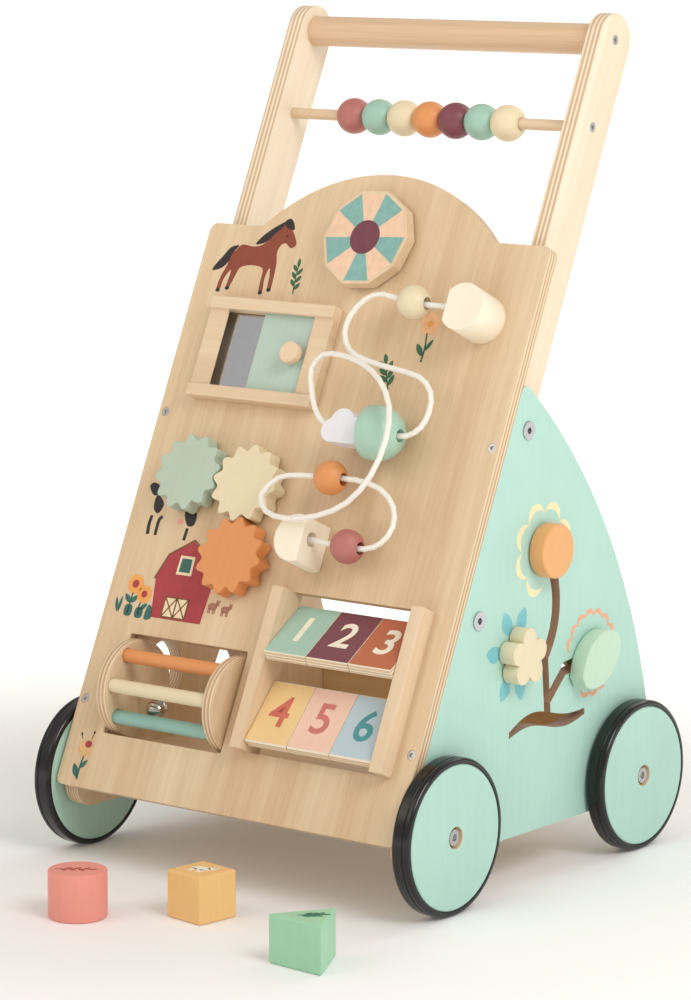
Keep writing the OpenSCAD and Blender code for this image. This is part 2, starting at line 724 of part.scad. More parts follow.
module leaf_knob() color([0.79, 0.89, 0.77]) {
    leaf_l = 28;
    leaf_w = 17.5;
    r = (leaf_l * leaf_l + leaf_w * leaf_w) / (2 * leaf_w);
    side_plate(half_w + knob_gap, half_w + knob_gap + knob_t) translate(branch_a) rotate(33)
        intersection() {
            translate([0, leaf_w - r]) circle(r, $fn = 120);
            translate([0, r - leaf_w]) circle(r, $fn = 120);
            square([2 * leaf_l - 5, 50], center = true);
        }
    knob_spindle(branch_a);
}

// ---- Counting beads ----

// Bead i: a ball with flat ends
module bead(i) color(bead_colors[i - 1]) on_panel()
    translate([(i - 4) * bead_pitch + bead_shift, post_n, rod_v]) rotate([0, 90, 0]) rotate_extrude($fn = 72)
        difference() {
            bore_r = rod_d / 2 + 0.5;
            cap = acos(bead_w / bead_d);
            polygon(concat([[bore_r, bead_w / 2], [bore_r, -bead_w / 2]],
                arc([0, 0], bead_d / 2, cap - 90, 90 - cap, 18)));
        }
module bead_1() bead(1);
module bead_2() bead(2);
module bead_3() bead(3);
module bead_4() bead(4);
module bead_5() bead(5);
module bead_6() bead(6);
module bead_7() bead(7);

// ---- Loose blocks ----

module block_cylinder() color(CORAL) translate([cylinder_at[0], cylinder_at[1], 0])
    cylinder(d = cylinder_d, h = block, $fn = 72);

module block_cube() color(YELLOW) translate([cube_at[0], cube_at[1], block / 2])
    rotate([0, 0, -8]) cube(block, center = true);

module block_prism() color([0.62, 0.83, 0.66]) translate([prism_at[0], prism_at[1], 0])
    rotate([0, 0, 86]) linear_extrude(block) circle(prism_side / sqrt(3), $fn = 3);

front_panel();
left_post();
right_post();
handle_bar();
bead_rod();
left_side_panel();
right_side_panel();
storage_floor();
rear_board();
frame_screws();
wheel_bolts();
window_frame();
mirror_sheet();
sliding_door();
door_knob();
spinner();
pivot_pins();
mint_gear();
cream_gear();
orange_gear();
maze_upper_post();
maze_lower_post();
maze_wire();
maze_cream_ball();
maze_dome();
maze_cloud();
maze_orange_ball();
maze_rose_ball();
drum_cheeks();
drum_discs();
drum_bars();
drum_bell_axle();
number_frame();
tile_1();
tile_2();
tile_3();
tile_4();
tile_5();
tile_6();
round_knob();
flower_knob();
leaf_knob();
bead_1();
bead_2();
bead_3();
bead_4();
bead_5();
bead_6();
bead_7();
wheel_front_left();
wheel_front_right();
wheel_rear_left();
wheel_rear_right();
tyre_front_left();
tyre_front_right();
tyre_rear_left();
tyre_rear_right();
block_cylinder();
block_cube();
block_prism();
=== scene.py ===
import math

import bpy
import numpy as np
from mathutils import Matrix, Vector


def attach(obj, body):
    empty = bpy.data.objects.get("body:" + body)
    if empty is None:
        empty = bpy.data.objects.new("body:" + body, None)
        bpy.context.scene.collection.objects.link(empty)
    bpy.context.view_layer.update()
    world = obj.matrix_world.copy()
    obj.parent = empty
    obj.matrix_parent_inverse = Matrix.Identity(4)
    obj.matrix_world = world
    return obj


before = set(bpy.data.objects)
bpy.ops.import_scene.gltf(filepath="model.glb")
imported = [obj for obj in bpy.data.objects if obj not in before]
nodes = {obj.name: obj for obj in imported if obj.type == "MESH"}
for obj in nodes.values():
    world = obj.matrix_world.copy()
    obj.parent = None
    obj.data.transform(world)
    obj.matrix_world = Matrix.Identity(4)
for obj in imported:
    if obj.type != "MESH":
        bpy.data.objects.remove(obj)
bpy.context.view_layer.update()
mm = 0.001


# ---- Camera, floor and studio light ----
# A pale sweep of floor that glows as painted light, faintly round the walker and fully far from it,
# in a white surround, under a strong softbox on the right, a weaker and warmer one on the left and
# one behind. The camera looks a little down from the front right.

camera_at = Vector((1.5818, -1.9102, 0.6728))
camera_azimuth = math.radians(37.64)
camera_dip = math.radians(9.19)
camera_roll = math.radians(0.15)

sight = Vector((-math.sin(camera_azimuth) * math.cos(camera_dip),
                math.cos(camera_azimuth) * math.cos(camera_dip), -math.sin(camera_dip)))
lens = bpy.data.cameras.new("camera")
lens.lens = 134.1
lens.clip_end = 200
camera = bpy.data.objects.new("camera", lens)
camera.rotation_euler = (sight.to_track_quat("-Z", "Y").to_matrix()
                         @ Matrix.Rotation(camera_roll, 3, "Z")).to_euler()
camera.location = camera_at
bpy.context.collection.objects.link(camera)
bpy.context.scene.camera = camera
bpy.context.scene.view_settings.view_transform = "Standard"


def add_node(tree, kind, inputs=None, **settings):
    """Adds a shader node. Each input is linked if its value is a socket, and set if it's a number."""
    node = tree.nodes.new("ShaderNode" + kind)
    for name, value in settings.items():
        setattr(node, name, value)
    for name, value in (inputs or {}).items():
        if isinstance(value, bpy.types.NodeSocket):
            tree.links.new(value, node.inputs[name])
        else:
            node.inputs[name].default_value = value
    return node


def new_material(name):
    """A material with only a Principled shader and its output; returns it, its tree and the shader."""
    material = bpy.data.materials.new(name)
    material.use_nodes = True
    return material, material.node_tree, material.node_tree.nodes["Principled BSDF"]


def make_piece(name, points, faces, material):
    """A mesh object from arrays of points, in metres, and faces, placed by its points alone."""
    mesh = bpy.data.meshes.new(name)
    mesh.from_pydata([tuple(p) for p in np.asarray(points, float)], [], faces)
    mesh.materials.append(material)
    mesh.update()
    piece = bpy.data.objects.new(name, mesh)
    bpy.context.collection.objects.link(piece)
    return piece


floor_size = 60
glow_middle = (0, 0.12, 0)
glow_starts, glow_full = 0.25, 1.1
glowing_floor_paint, floor_tree, floor_shader = new_material("glowing_floor_paint")
floor_shader.inputs["Base Color"].default_value = (0.9, 0.9, 0.9, 1)
floor_shader.inputs["Roughness"].default_value = 0.7
# Painted light: the floor glows, faintly within 0.25 m of the walker and fully beyond 1.1 m, so the far
# floor shows white while the floor round the walker stays darker.
floor_shader.inputs["Emission Color"].default_value = (1, 1, 1, 1)
floor_place = add_node(floor_tree, "TexCoord")
floor_away = add_node(floor_tree, "VectorMath", {0: floor_place.outputs["Object"], 1: glow_middle},
                      operation="DISTANCE")
floor_glow = add_node(floor_tree, "MapRange", {"Value": floor_away.outputs["Value"],
                                               "From Min": glow_starts, "From Max": glow_full,
                                               "To Min": 0.06, "To Max": 0.62},
                      interpolation_type="SMOOTHSTEP")
floor_tree.links.new(floor_glow.outputs[0], floor_shader.inputs["Emission Strength"])
floor = make_piece("floor", floor_size * np.array([[-1, -1, 0], [1, -1, 0], [1, 1, 0], [-1, 1, 0]]),
                   [(0, 1, 2, 3)], glowing_floor_paint)

surround = bpy.data.worlds.new("surround")
surround.use_nodes = True
sky = surround.node_tree.nodes["Background"]
seen = add_node(surround.node_tree, "LightPath").outputs["Is Camera Ray"]
sky_color = add_node(surround.node_tree, "MixRGB", {"Fac": seen, "Color1": (0.58, 0.545, 0.505, 1),
                                                    "Color2": (1, 1, 1, 1)})
surround.node_tree.links.new(sky_color.outputs[0], sky.inputs["Color"])
bpy.context.scene.world = surround


def softbox(name, place, aim, size, power, color=(1, 1, 1)):
    """A square area light at place, facing the point aim."""
    light = bpy.data.lights.new(name, "AREA")
    light.size = size
    light.energy = power
    light.color = color
    lamp = bpy.data.objects.new(name, light)
    lamp.location = place
    lamp.rotation_euler = (Vector(aim) - Vector(place)).to_track_quat("-Z", "Y").to_euler()
    bpy.context.collection.objects.link(lamp)


softbox("key_light", (2.0, -0.5, 1.9), (0, 0.1, 0.25), 1.2, 29)
softbox("fill_light", (-1.0, -2.0, 2.0), (0, 0.1, 0.25), 1.8, 13, (1, 0.88, 0.76))
softbox("back_light", (0.3, 2.4, 2.2), (0, 0.1, 0.3), 1.6, 14)


# ---- Plywood frame: panel, posts, box boards, drum cheeks and discs ----
# Birch-faced poplar plywood, 8 to 12 mm thick, sanded and lacquered. Faces show long pale
# grain along the board, and cut edges show the thin layers.

lean = math.radians(24.5)
panel_foot = 54


def on_panel(u, n, v):
    """Panel coordinates to the row frame: (u, sin(lean) v + cos(lean) n, foot + cos(lean) v
    - sin(lean) n). u runs along X, v up the leaning face and n behind it, all in mm."""
    u, n, v = np.broadcast_arrays(np.asarray(u, float), np.asarray(n, float), np.asarray(v, float))
    y = math.sin(lean) * v + math.cos(lean) * n
    z = panel_foot + math.cos(lean) * v - math.sin(lean) * n
    return np.stack([u, y, z], -1) * mm


def new_group(name, inputs, outputs):
    """An empty shader node group with the given sockets; returns its tree, inputs and output node."""
    tree = bpy.data.node_groups.new(name, "ShaderNodeTree")
    for label, kind in inputs:
        tree.interface.new_socket(label, in_out="INPUT", socket_type="NodeSocket" + kind)
    for label, kind in outputs:
        tree.interface.new_socket(label, in_out="OUTPUT", socket_type="NodeSocket" + kind)
    return tree, tree.nodes.new("NodeGroupInput").outputs, tree.nodes.new("NodeGroupOutput")


def build_wood_grain():
    """Grain along the vector's Z: broad streaks, medium bands and fine fibres are noises
    stretched 16 to 35 times along Z, mixed between a light and a dark tone."""
    tree, given, result = new_group(
        "wood grain", [("Vector", "Vector"), ("Light", "Color"), ("Dark", "Color")],
        [("Color", "Color"), ("Height", "Float")])
    layers = []
    for stretch, detail in (((26, 26, 1.6), 3), ((140, 140, 5), 4), ((900, 900, 26), 2)):
        scaled = add_node(tree, "VectorMath", {0: given["Vector"], 1: stretch}, operation="MULTIPLY")
        layers.append(add_node(tree, "TexNoise", {"Vector": scaled.outputs[0], "Scale": 1.0,
                                                  "Detail": detail}).outputs["Fac"])
    broad = add_node(tree, "Math", {0: layers[0], 1: 0.55}, operation="MULTIPLY").outputs[0]
    band = add_node(tree, "Math", {0: layers[1], 1: 0.30, 2: broad}, operation="MULTIPLY_ADD").outputs[0]
    whole = add_node(tree, "Math", {0: layers[2], 1: 0.22, 2: band}, operation="MULTIPLY_ADD").outputs[0]
    spread = add_node(tree, "MapRange", {"Value": whole, "From Min": 0.38, "From Max": 0.68,
                                         "To Min": 0.0, "To Max": 1.0})
    tone = add_node(tree, "MixRGB", {"Fac": spread.outputs[0], "Color1": given["Light"],
                                     "Color2": given["Dark"]})
    tree.links.new(tone.outputs[0], result.inputs["Color"])
    tree.links.new(layers[2], result.inputs["Height"])
    return tree


def build_ply_edge():
    """Layers of plywood seen on an edge: stripes of the depth coordinate, one light and one
    dark to each pair of veneers, shown where the surface turns away from the board's face."""
    tree, given, result = new_group(
        "ply edge", [("Color", "Color"), ("Depth", "Float"), ("Facing", "Float"), ("Pitch", "Float")],
        [("Color", "Color")])
    turns = add_node(tree, "Math", {0: given["Depth"], 1: given["Pitch"]}, operation="DIVIDE").outputs[0]
    angle = add_node(tree, "Math", {0: turns, 1: 2 * math.pi}, operation="MULTIPLY").outputs[0]
    wave = add_node(tree, "Math", {0: angle}, operation="SINE").outputs[0]
    stripe = add_node(tree, "MapRange", {"Value": wave, "From Min": -0.35, "From Max": 0.35,
                                         "To Min": 0.0, "To Max": 1.0}).outputs[0]
    edge = add_node(tree, "MapRange", {"Value": given["Facing"], "From Min": 0.55, "From Max": 0.75,
                                       "To Min": 0.85, "To Max": 0.0}).outputs[0]
    dark = add_node(tree, "MixRGB", {"Fac": 1.0, "Color1": given["Color"],
                                     "Color2": (0.70, 0.55, 0.40, 1)}, blend_type="MULTIPLY")
    pale = add_node(tree, "MixRGB", {"Fac": 0.25, "Color1": given["Color"],
                                     "Color2": (0.95, 0.86, 0.70, 1)})
    layers = add_node(tree, "MixRGB", {"Fac": stripe, "Color1": dark.outputs[0],
                                       "Color2": pale.outputs[0]})
    shown = add_node(tree, "MixRGB", {"Fac": edge, "Color1": given["Color"], "Color2": layers.outputs[0]})
    tree.links.new(shown.outputs[0], result.inputs["Color"])
    return tree


wood_grain = build_wood_grain()
ply_edge = build_ply_edge()


def bare_wood(name, light, dark, turn, roughness=0.42, ply_axis=None, ply_start=0, ply_pitch=3.2 * mm):
    """Lacquered bare wood. turn rotates the object's space so that the grain runs along Z.
    With ply_axis, cut edges show layers counted from ply_start along that turned axis."""
    material, tree, shader = new_material(name)
    place = add_node(tree, "TexCoord")
    turned = add_node(tree, "Mapping", {"Vector": place.outputs["Object"], "Rotation": turn})
    grain = add_node(tree, "Group", {"Vector": turned.outputs[0], "Light": (*light, 1),
                                     "Dark": (*dark, 1)}, node_tree=wood_grain)
    tone = grain.outputs["Color"]
    if ply_axis is not None:
        facing = add_node(tree, "Mapping", {"Vector": place.outputs["Normal"], "Rotation": turn})
        across = add_node(tree, "SeparateXYZ", {0: turned.outputs[0]}).outputs[ply_axis]
        toward = add_node(tree, "SeparateXYZ", {0: facing.outputs[0]}).outputs[ply_axis]
        depth = add_node(tree, "Math", {0: across, 1: ply_start}, operation="SUBTRACT").outputs[0]
        flat = add_node(tree, "Math", {0: toward}, operation="ABSOLUTE").outputs[0]
        tone = add_node(tree, "Group", {"Color": tone, "Depth": depth, "Facing": flat,
                                        "Pitch": ply_pitch}, node_tree=ply_edge).outputs["Color"]
    tree.links.new(tone, shader.inputs["Base Color"])
    bump = add_node(tree, "Bump", {"Strength": 0.12, "Distance": 0.0004, "Height": grain.outputs["Height"]})
    tree.links.new(bump.outputs[0], shader.inputs["Normal"])
    shader.inputs["Roughness"].default_value = roughness
    shader.inputs["Coat Weight"].default_value = 0.12
    shader.inputs["Coat Roughness"].default_value = 0.3
    return material


ply_light = (0.78, 0.62, 0.41)
ply_dark = (0.61, 0.43, 0.25)
post_inner_x = 126
leaning = (lean, 0, 0)
along_x = (0, math.pi / 2, 0)
panel_ply = bare_wood("panel_ply", ply_light, ply_dark, leaning, ply_axis="Y",
                      ply_start=panel_foot * mm * math.sin(-lean))
post_ply = bare_wood("post_ply", (0.87, 0.76, 0.59), (0.76, 0.62, 0.44), leaning, ply_axis="X",
                     ply_start=post_inner_x * mm, ply_pitch=3.6 * mm)
floor_ply = bare_wood("floor_ply", ply_light, ply_dark, along_x, ply_axis="X")
rear_ply = bare_wood("rear_ply", ply_light, ply_dark, along_x, ply_axis="Y")
disc_ply = bare_wood("disc_ply", ply_light, ply_dark, leaning, ply_axis="X")


def soften(node, radius):
    """Rounds a CAD node's edges: its triangles are welded, flat faces are joined, and corners
    sharper than 35 degrees are bevelled."""
    weld = node.modifiers.new("weld", "WELD")
    weld.merge_threshold = 0.01 * mm
    joined = node.modifiers.new("flat", "DECIMATE")
    joined.decimate_type = "DISSOLVE"
    joined.angle_limit = math.radians(0.4)
    bevel = node.modifiers.new("bevel", "BEVEL")
    bevel.width = radius * mm
    bevel.segments = 2
    bevel.limit_method = "ANGLE"
    bevel.angle_limit = math.radians(35)
    bevel.use_clamp_overlap = True


def dress(names, material, radius=0):
    """Gives CAD nodes their material, and rounds their edges by radius in mm."""
    for name in names.split():
        nodes[name].material_slots[0].material = material
        if radius:
            soften(nodes[name], radius)


dress("front_panel", panel_ply, 1.2)
dress("left_post right_post drum_cheeks", post_ply, 1.2)
dress("storage_floor", floor_ply, 0.8)
dress("rear_board", rear_ply, 1.2)
dress("drum_discs", disc_ply, 1.0)

# ---- Beech dowels, rails, pins and the door's knob ----
# Turned or planed beech, a shade pinker than the plywood, with short fine fibres. The rails
# and the rods are paler than the thick handle.

beech_light = (0.74, 0.53, 0.34)
beech_dark = (0.57, 0.37, 0.22)
beech_along_x = bare_wood("beech_along_x", beech_light, beech_dark, along_x, 0.38)
beech_upright = bare_wood("beech_upright", beech_light, beech_dark, leaning, 0.38)
rail_light = (0.82, 0.65, 0.45)
rail_dark = (0.68, 0.50, 0.32)
rail_along_x = bare_wood("rail_along_x", rail_light, rail_dark, along_x, 0.4)
rail_upright = bare_wood("rail_upright", rail_light, rail_dark, leaning, 0.4)
dress("handle_bar", beech_along_x)
dress("bead_rod", rail_along_x)
dress("window_frame door_knob", rail_along_x, 0.8)
dress("number_frame", rail_upright, 0.8)
dress("pivot_pins", beech_upright, 0.5)

# ---- Painted wood ----
# Water-based satin paint on wood: each colour is a little uneven, and the grain under it
# shows as faint ridges.


def uneven(tree, vector, scale, detail, low, high):
    """Noise of one scale, and the same noise with its range 0.3 to 0.7 spread from low to high."""
    noise = add_node(tree, "TexNoise", {"Vector": vector, "Scale": scale, "Detail": detail}).outputs["Fac"]
    spread = add_node(tree, "MapRange", {"Value": noise, "From Min": 0.3, "From Max": 0.7,
                                         "To Min": low, "To Max": high})
    return noise, spread.outputs[0]


def build_brushed_paint():
    """Unevenness of a painted surface: a soft mottle of the colour, a patchy roughness and a
    height made of long grain ridges and fine orange peel."""
    tree, given, result = new_group(
        "brushed paint", [("Vector", "Vector"), ("Color", "Color")],
        [("Color", "Color"), ("Roughness", "Float"), ("Height", "Float")])
    scaled = add_node(tree, "VectorMath", {0: given["Vector"], 1: (420, 420, 24)}, operation="MULTIPLY")
    peel = add_node(tree, "TexNoise", {"Vector": given["Vector"], "Scale": 900.0, "Detail": 1})
    bright = uneven(tree, given["Vector"], 22.0, 3, 0.955, 1.02)[1]
    ridges, streak = uneven(tree, scaled.outputs[0], 1.0, 3, 0.975, 1.01)
    rough = uneven(tree, given["Vector"], 22.0, 3, 0.40, 0.52)[1]
    both = add_node(tree, "Math", {0: bright, 1: streak}, operation="MULTIPLY")
    tone = add_node(tree, "VectorMath", {0: given["Color"], "Scale": both.outputs[0]}, operation="SCALE")
    height = add_node(tree, "Math", {0: peel.outputs["Fac"], 1: 0.4, 2: ridges}, operation="MULTIPLY_ADD")
    tree.links.new(tone.outputs[0], result.inputs["Color"])
    tree.links.new(rough, result.inputs["Roughness"])
    tree.links.new(height.outputs[0], result.inputs["Height"])
    return tree


brushed_paint = build_brushed_paint()


def painted(name, color, turn=leaning):
    """Satin paint of one colour over wood whose grain runs along the turned Z."""
    material, tree, shader = new_material(name)
    place = add_node(tree, "TexCoord")
    turned = add_node(tree, "Mapping", {"Vector": place.outputs["Object"], "Rotation": turn})
    paint = add_node(tree, "Group", {"Vector": turned.outputs[0], "Color": (*color, 1)},
                     node_tree=brushed_paint)
    bump = add_node(tree, "Bump", {"Strength": 0.10, "Distance": 0.0004, "Height": paint.outputs["Height"]})
    tree.links.new(paint.outputs["Color"], shader.inputs["Base Color"])
    tree.links.new(paint.outputs["Roughness"], shader.inputs["Roughness"])
    tree.links.new(bump.outputs[0], shader.inputs["Normal"])
    shader.inputs["Coat Weight"].default_value = 0.08
    shader.inputs["Coat Roughness"].default_value = 0.35
    return material


def paint_parts(material):
    """A painted material's tree, its shader and the socket that carries its colour."""
    shader = material.node_tree.nodes["Principled BSDF"]
    return material.node_tree, shader, shader.inputs["Base Color"].links[0].from_socket


# ---- Side panels and their three knobs ----
# 12 mm plywood sprayed mint, with a track routed through the right one as a plant. Its walls
# are bare and browned. The knobs are thick painted shapes that slide or turn in the track.

mint = (0.44, 0.69, 0.60)
cream = (0.78, 0.68, 0.46)
unturned = (0, 0, 0)
side_x = 150
track_low, track_high = 98, 240
track_front, track_back = 126, 232


def side_paint():
    """Mint paint on the outer faces only: there the normal and the position along X have the
    same sign. The rest is bare plywood, browned on the walls of the track, which lie inside the
    box that holds it."""
    material = painted("side_paint", mint, unturned)
    tree, shader, paint = paint_parts(material)
    place = add_node(tree, "TexCoord")
    at = add_node(tree, "SeparateXYZ", {0: place.outputs["Object"]})
    facing = add_node(tree, "SeparateXYZ", {0: place.outputs["Normal"]})
    grain = add_node(tree, "Group", {"Vector": place.outputs["Object"], "Light": (*ply_light, 1),
                                     "Dark": (*ply_dark, 1)}, node_tree=wood_grain)
    flat = add_node(tree, "Math", {0: facing.outputs["X"]}, operation="ABSOLUTE").outputs[0]
    layers = add_node(tree, "Group", {"Color": grain.outputs["Color"], "Depth": at.outputs["X"],
                                      "Facing": flat, "Pitch": 2.4 * mm}, node_tree=ply_edge)
    inside = add_node(tree, "Math", {0: flat, 1: 0.5}, operation="LESS_THAN").outputs[0]
    for axis, limit, beyond in (("Z", track_low, "GREATER_THAN"), ("Z", track_high, "LESS_THAN"),
                                ("Y", track_front, "GREATER_THAN"), ("Y", track_back, "LESS_THAN")):
        within = add_node(tree, "Math", {0: at.outputs[axis], 1: limit * mm}, operation=beyond).outputs[0]
        inside = add_node(tree, "Math", {0: inside, 1: within}, operation="MULTIPLY").outputs[0]
    wood = add_node(tree, "MixRGB", {"Fac": inside, "Color1": layers.outputs["Color"],
                                     "Color2": (0.40, 0.26, 0.17, 1)})
    outward = add_node(tree, "Math", {0: facing.outputs["X"], 1: at.outputs["X"]}, operation="MULTIPLY")
    coated = add_node(tree, "Math", {0: outward.outputs[0], 1: 0.6 * side_x * mm},
                      operation="GREATER_THAN")
    tone = add_node(tree, "MixRGB", {"Fac": coated.outputs[0], "Color1": wood.outputs[0], "Color2": paint})
    tree.links.new(tone.outputs[0], shader.inputs["Base Color"])
    return material


dress("left_side_panel right_side_panel", side_paint(), 1.5)
dress("round_knob", painted("round_knob_paint", (0.80, 0.40, 0.15)), 1.5)
dress("flower_knob", painted("flower_knob_paint", cream), 1.0)
dress("leaf_knob", painted("leaf_knob_paint", (0.54, 0.75, 0.58)), 1.2)

# ---- Wheels ----
# Mint discs in black rubber rings. Each turns on a steel shoulder bolt in a side panel, whose
# head sits in a small recess of bare wood.

hub_z = 54
recess_r = 7.65


def wheel_paint(name, hub_y):
    """Mint paint, and bare wood closer to the hub's axis than the recess's radius."""
    material = painted(name, mint, unturned)
    tree, shader, paint = paint_parts(material)
    place = add_node(tree, "TexCoord")
    centred = add_node(tree, "Mapping", {"Vector": place.outputs["Object"],
                                         "Location": (0, -hub_y * mm, -hub_z * mm), "Scale": (0, 1, 1)})
    away = add_node(tree, "VectorMath", {0: centred.outputs[0]}, operation="LENGTH").outputs["Value"]
    hub = add_node(tree, "Math", {0: away, 1: recess_r * mm}, operation="LESS_THAN").outputs[0]
    tone = add_node(tree, "MixRGB", {"Fac": hub, "Color1": paint, "Color2": (0.70, 0.50, 0.30, 1)})
    tree.links.new(tone.outputs[0], shader.inputs["Base Color"])
    return material


def tyre_rubber():
    """Black rubber whose tone and gloss follow a broad noise, over bumps of a fine one."""
    material, tree, shader = new_material("tyre_rubber")
    place = add_node(tree, "TexCoord")
    bloom, rough = uneven(tree, place.outputs["Object"], 60.0, 4, 0.14, 0.26)
    grit = add_node(tree, "TexNoise", {"Vector": place.outputs["Object"], "Scale": 1500.0, "Detail": 2})
    tone = add_node(tree, "MixRGB", {"Fac": bloom, "Color1": (0.003, 0.003, 0.003, 1),
                                     "Color2": (0.008, 0.008, 0.008, 1)})
    bump = add_node(tree, "Bump", {"Strength": 0.15, "Distance": 0.0002, "Height": grit.outputs["Fac"]})
    tree.links.new(tone.outputs[0], shader.inputs["Base Color"])
    tree.links.new(rough, shader.inputs["Roughness"])
    tree.links.new(bump.outputs[0], shader.inputs["Normal"])
    return material


dress("wheel_front_left wheel_front_right", wheel_paint("front_wheel_paint", 47.5), 0.6)
dress("wheel_rear_left wheel_rear_right", wheel_paint("rear_wheel_paint", 276), 0.6)
dress("tyre_front_left tyre_front_right tyre_rear_left tyre_rear_right", tyre_rubber())

# ---- Steel screws, bolts, axle and bell ----
# Zinc-plated steel with a fine uneven haze: the frame's screws, the wheels' bolts and the
# drum's bell on its axle.


def plated_steel(name, color, low, high):
    """Bright metal whose roughness goes from low to high with a fine noise."""
    material, tree, shader = new_material(name)
    place = add_node(tree, "TexCoord")
    haze = uneven(tree, place.outputs["Object"], 700.0, 3, low, high)[1]
    tree.links.new(haze, shader.inputs["Roughness"])
    shader.inputs["Base Color"].default_value = (*color, 1)
    shader.inputs["Metallic"].default_value = 1
    return material


dress("frame_screws wheel_bolts", plated_steel("steel", (0.48, 0.48, 0.49), 0.18, 0.32), 0.3)
dress("drum_bell_axle", plated_steel("bell_steel", (0.55, 0.53, 0.48), 0.10, 0.22))

# ---- Window: mirror and door ----
# Mirror film on card, shown through the window when the mint door before it slides aside in
# the rails' grooves.

dress("mirror_sheet", plated_steel("mirror_film", (0.60, 0.63, 0.68), 0.05, 0.09))
dress("sliding_door", painted("door_paint", (0.46, 0.60, 0.52)), 0.5)

# ---- Drum bars ----
# Three beech dowels held between the drum's discs, dipped orange, cream and teal from the
# top one down.

orange = (0.74, 0.30, 0.10)
teal = (0.27, 0.50, 0.44)
cream_from, orange_from = 116, 138


def drum_bar_paint():
    """The bar's colour follows its height at rest: teal, then cream, then orange."""
    material = painted("drum_bar_paint", teal, along_x)
    tree, shader, tone = paint_parts(material)
    place = add_node(tree, "TexCoord")
    height = add_node(tree, "SeparateXYZ", {0: place.outputs["Object"]}).outputs["Z"]
    for limit, color in ((cream_from, cream), (orange_from, orange)):
        above = add_node(tree, "Math", {0: height, 1: limit * mm}, operation="GREATER_THAN").outputs[0]
        tone = add_node(tree, "MixRGB", {"Fac": above, "Color1": tone, "Color2": (*color, 1)}).outputs[0]
    tree.links.new(tone, shader.inputs["Base Color"])
    return material


dress("drum_bars", drum_bar_paint())

# ---- Gears and counting beads ----
# Three sawn beech gears that turn on pins and mesh, and seven turned beads that slide on the
# rod under the handle, all in satin colours.

cream_paint = painted("cream_paint", cream)
orange_paint = painted("orange_paint", orange)
plum_paint = painted("plum_paint", (0.21, 0.055, 0.075))
rose_paint = painted("rose_paint", (0.46, 0.16, 0.14))
dress("mint_gear", painted("mint_gear_paint", (0.46, 0.57, 0.46)), 0.6)
dress("cream_gear", cream_paint, 0.6)
dress("orange_gear", orange_paint, 0.6)
dress("bead_1", rose_paint)
dress("bead_2 bead_6", painted("bead_mint_paint", (0.34, 0.55, 0.45)))
dress("bead_3 bead_7", cream_paint)
dress("bead_4", orange_paint)
dress("bead_5", plum_paint)

# ---- Bead maze ----
# A bent wire in a white plastic sleeve runs from post to post. Its beads are turned or sawn
# beech: three balls, a dome and a cloud.


def wire_sleeve():
    """Soft white plastic, slightly uneven in gloss."""
    material, tree, shader = new_material("wire_sleeve")
    place = add_node(tree, "TexCoord")
    rough = uneven(tree, place.outputs["Object"], 90.0, 2, 0.26, 0.36)[1]
    shader.inputs["Base Color"].default_value = (0.86, 0.84, 0.77, 1)
    tree.links.new(rough, shader.inputs["Roughness"])
    return material


dress("maze_upper_post maze_lower_post", painted("ivory_paint", (0.92, 0.84, 0.68)), 1.0)
dress("maze_cream_ball", cream_paint)
dress("maze_dome", painted("sage_paint", (0.40, 0.62, 0.50)), 0.8)
dress("maze_cloud", painted("cloud_paint", (0.80, 0.80, 0.84)), 0.8)
dress("maze_orange_ball", orange_paint)
dress("maze_rose_ball", rose_paint)
dress("maze_wire", wire_sleeve())

# ---- Prints ----
# Pictures screen-printed on the wood: thin even coats of ink with a slightly chalky finish,
# one over the other.

ink_depth = 0.05
ink_coat = 0.12


def ink(name, color):
    """Chalky ink: the colour is mottled by noise, and it has no gloss coat."""
    material, tree, shader = new_material(name)
    place = add_node(tree, "TexCoord")
    shade = uneven(tree, place.outputs["Object"], 180.0, 5, 0.90, 1.05)[1]
    tone = add_node(tree, "VectorMath", {0: color, "Scale": shade}, operation="SCALE")
    tree.links.new(tone.outputs[0], shader.inputs["Base Color"])
    shader.inputs["Roughness"].default_value = 0.6
    return material


def curve_through(points, steps=5, closed=True):
    """Catmull-Rom spline: each span is a cubic whose end slopes are half its neighbours' chord."""
    p = np.asarray(points, float)
    if closed:
        a, b, c, d = (np.roll(p, shift, 0)[:, None] for shift in (1, 0, -1, -2))
    else:
        ends = np.vstack([p[:1], p, p[-1:]])
        a, b, c, d = (part[:, None] for part in (ends[:-3], ends[1:-2], ends[2:-1], ends[3:]))
    t = np.linspace(0, 1, steps, endpoint=False)[None, :, None]
    spans = 0.5 * (2 * b + (c - a) * t + (2 * a - 5 * b + 4 * c - d) * t ** 2
                   + (3 * b - a - 3 * c + d) * t ** 3)
    line = spans.reshape(-1, 2)
    return line if closed else np.vstack([line, p[-1:]])


def stroke(points, width, end_width=None, steps=5):
    """Outline of a brush stroke: the line's points moved half a width to each side, with the
    width going evenly from width to end_width."""
    line = curve_through(points, steps, closed=False)
    along = np.gradient(line, axis=0)
    along /= np.linalg.norm(along, axis=1)[:, None]
    side = np.stack([-along[:, 1], along[:, 0]], 1)
    half = np.linspace(width, width if end_width is None else end_width, len(line))[:, None] / 2
    return np.vstack([line + side * half, (line - side * half)[::-1]])


def leaf(base, tip, width, bend=0.0, count=9):
    """Pointed oval from base to tip: width sin(pi t) across, its middle pushed aside by bend."""
    base, tip = np.asarray(base, float), np.asarray(tip, float)
    along = tip - base
    side = np.array([-along[1], along[0]]) / np.linalg.norm(along)
    t = np.linspace(0, 1, count)[:, None]
    spread = np.sin(np.pi * t)
    middle = base + along * t + side * bend * spread
    edge = side * width / 2 * spread ** 0.8
    return np.vstack([middle + edge, (middle - edge)[-2:0:-1]])


